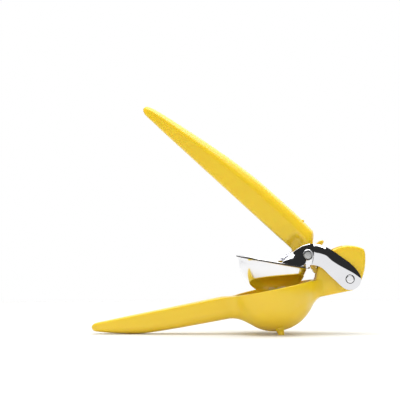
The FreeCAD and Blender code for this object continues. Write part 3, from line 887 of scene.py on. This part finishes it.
def cupProfile(look):
    outer, inner = look["dome"], look["dome"] - look["sheet"]
    rise, sheet = look["rise"], look["sheet"]
    outline = []
    for a in np.linspace(-90, -10.5, 44):
        a = math.radians(a)
        outline.append((max(outer * math.cos(a), 0.01), outer * math.sin(a) + rise))
    neck = outline[-1]  # the bend from dome to flange, first under it and then over it
    outline += [(neck[0] + 0.35, neck[1] + 1.0), (neck[0] + 0.75, -sheet - 0.7)]
    outline += [(neck[0] + 1.3, -sheet - 0.1)]
    outline += arcPoints((look["flange"] - look["bead"], -look["beadDrop"]), look["bead"], -150, 125, 16)
    outline += [(neck[0] + 0.6, 0.0), (neck[0] - 0.2, -0.35), (neck[0] - 0.65, -1.2), (neck[0] - 0.95, -2.4)]
    for a in np.linspace(-8.5, -90, 44):
        a = math.radians(a)
        outline.append((max(inner * math.cos(a), 0.01), inner * math.sin(a) + rise))
    return outline


def makeCup(look):
    cx, cz = look["centre"]
    piece = lathePiece("pressCup", cupProfile(look), (cx, 0, cz), "z", "press", steel, "press_cup", sides=192)
    # painted reflection: the bare edge faces below get the near-black painted shade finish
    piece.data.materials.append(paintedShade)
    columns = len(cupProfile(look))
    low, high = look["cutEdge"]
    for face in piece.data.polygons:
        face.material_index = int(low <= face.index % columns < high)
    ring = fullRing(hubOnPress, look["reliefRadius"])
    half = look["reliefHalf"]
    return carve(piece, slabCutter("reliefTool", ring, -half, half, "press"))


def rimWall(look, x):
    # the arm's outer face across, where it follows the cup's rim and bends into the flat bar
    radius, bend, face = look["flange"] - look["inset"], look["bend"], look["armFace"]
    middle = look["centre"][0]
    kneeY = face + bend
    kneeX = middle + math.sqrt((radius + bend) ** 2 - kneeY ** 2)
    if x <= middle + (kneeX - middle) * radius / (radius + bend):
        return math.sqrt(radius ** 2 - (x - middle) ** 2)
    if x <= kneeX:
        return kneeY - math.sqrt(bend ** 2 - (x - kneeX) ** 2)
    return face


def wallAcross(look, x, z):
    # the wall stands on the cup's rim and leans in to a flat ear round the upper pin
    past = max(look["earStart"] - x, 0.0)
    ear = look["armFace"] + look["earTilt"] * past
    ear -= look["earLean"] * min(past / look["earLeanIn"], 1.0) * (z - look["earMiddle"])
    rim = rimWall(look, x)
    return rim + (ear - rim) * eased((z - look["centre"][1] - look["earFoot"]) / look["earRise"])


def makeArm(look, side, label, node):
    # outer and inner skins of one sheet, from the cup's rim to the round end on the lower pin
    start = look["earStart"]
    stations = list(np.linspace(-70.4, start - 1.0, 46)) + [start - 0.8, start - 0.5, start - 0.2]
    stations += list(np.linspace(start + 0.05, 6, 44))
    stations += list(look["armEnd"] * np.sin(np.radians(np.linspace(38, 89, 14))))
    sheet = look["armSheet"]
    flatRows = 12
    curl = np.radians(np.linspace(*look["curl"], 11))
    curlIn = (math.cos(curl[0]) - np.cos(curl)) / (math.cos(curl[0]) - math.cos(curl[-1]))
    curlUp = (np.sin(curl) - math.sin(curl[0])) / (math.sin(curl[-1]) - math.sin(curl[0]))
    rows = []
    for x in stations:
        top = float(easedCurve(look["top"], x))
        low = float(easedCurve(look["low"], x))
        drop = min(float(easedCurve(look["turn"], x)), 0.96 * (top - low))
        lean = look["turnIn"] * min(1.0, drop / 8.0)
        thick = min(sheet, 0.45 * (top - low))
        outer = [(0.0, z) for z in np.linspace(low + 0.15, top - drop, flatRows)]
        outer += [(lean * go, top - drop + drop * up) for go, up in zip(curlIn[1:], curlUp[1:])]
        inner = [(sheet, z) for _, z in outer[:flatRows]]
        for a, (into, z) in zip(curl[1:], outer[flatRows:]):
            inner.append((into + sheet * math.cos(a), z - min(thick, 0.8 * drop) * math.sin(a)))
        ring = []
        for into, z in outer + inner[::-1]:
            y = wallAcross(look, x, z)
            slope = (wallAcross(look, x + 0.2, z) - wallAcross(look, x - 0.2, z)) / 0.4
            size = math.hypot(slope, 1.0)
            ring.append((x + slope / size * into, side * (y - into / size), z))
        rows.append(ring if side < 0 else ring[::-1])
    return loftPiece(label + "Arm", rows, "press", steel, node, sharpAngle=50)


pins = {
    "radius": 3.0,
    "head": 3.8,
    "seats": {"lower": 18.0, "upper": 20.0},
    # each step is how far in from the head's edge, or out from the groove's, and how far above the seat
    "headEdge": [(0.0, -2.2), (0.0, 0.3), (0.15, 0.5), (0.4, 0.6), (0.55, 0.62)],
    "collarEdge": [(0.0, -2.0), (0.0, 0.5), (0.2, 0.8), (0.5, 0.85), (0.9, 0.5), (1.1, 0.0), (1.1, -2.0)],
    "groove": 0.75,       # gap round each head, its walls painted near-black as painted shade
    "grooveDepth": 1.3,
    "grooveReach": 12.0,
    "shaftShort": 1.5,    # the shaft ends this far below the seat
}


def makePins(look, arms):
    head, gap = look["head"], look["groove"]
    for label, centre in (("lower", (0.0, 0.0)), ("upper", hubOnPress)):
        seat = look["seats"][label]
        crown = [(head - into, seat + out) for into, out in look["headEdge"]]
        outline = [(0.01, crown[0][1])] + crown + [(0.01, crown[-1][1])]
        collar = [(head + gap + past, seat + out) for past, out in look["collarEdge"]]
        hole = fullRing(centre, head + gap)
        for side, hand in ((-1, "right"), (1, "left")):
            node = label + ("_pivot_pin" if side < 0 else "_pivot_cap")
            finish = headSteel if label == "upper" else steel
            spinOnY(label + hand.capitalize() + "PinHead", outline, centre, side, node, finish)
            if label == "upper":
                spinOnY("upper" + hand.capitalize() + "Collar", collar, centre, side, None)
            low, high = sorted((side * (seat - look["grooveDepth"]), side * (seat + look["grooveReach"])))
            # painted shade: the groove's new faces take the near-black painted shade finish
            carve(arms[side], slabCutter("grooveTool", hole, low, high, "press"), 50, paintedShade)
        end = seat - look["shaftShort"]
        shaft = [(0.01, -end), (look["radius"], -end), (look["radius"], end), (0.01, end)]
        lathePiece(label + "PinShaft", shaft, (centre[0], 0, centre[1]), "y", "press", steel, sides=48)


def spinOnY(name, outline, centre, side, node, finish=steel):
    profile = [(r, side * h) for r, h in outline]
    if side < 0:
        profile = profile[::-1]
    place = (centre[0], 0, centre[1])
    return lathePiece(name, profile, place, "y", "press", finish, node, sides=64, sharpAngle=24)


makeBowl(bowl)
makeNubs(bowl)
makeLowerHandle(lowerHandle)
makeBlock(block)
makeNeck(block)
print("lower moulding made")
makeUpperHandle(upperHandle)
print("upper handle made")
makeCup(press)
arms = {-1: makeArm(press, -1, "right", "right_press_arm"), 1: makeArm(press, 1, "left", "left_press_arm")}
makePins(pins, arms)
print("press made")

# the pieces that keep their CAD shape
for part in frame["record"]["subparts"]:
    node = frame["nodes"][part["node"]]
    node.data.materials.clear()
    node.data.materials.append(finishes[part["material_slot"]])
print("finishes put on")
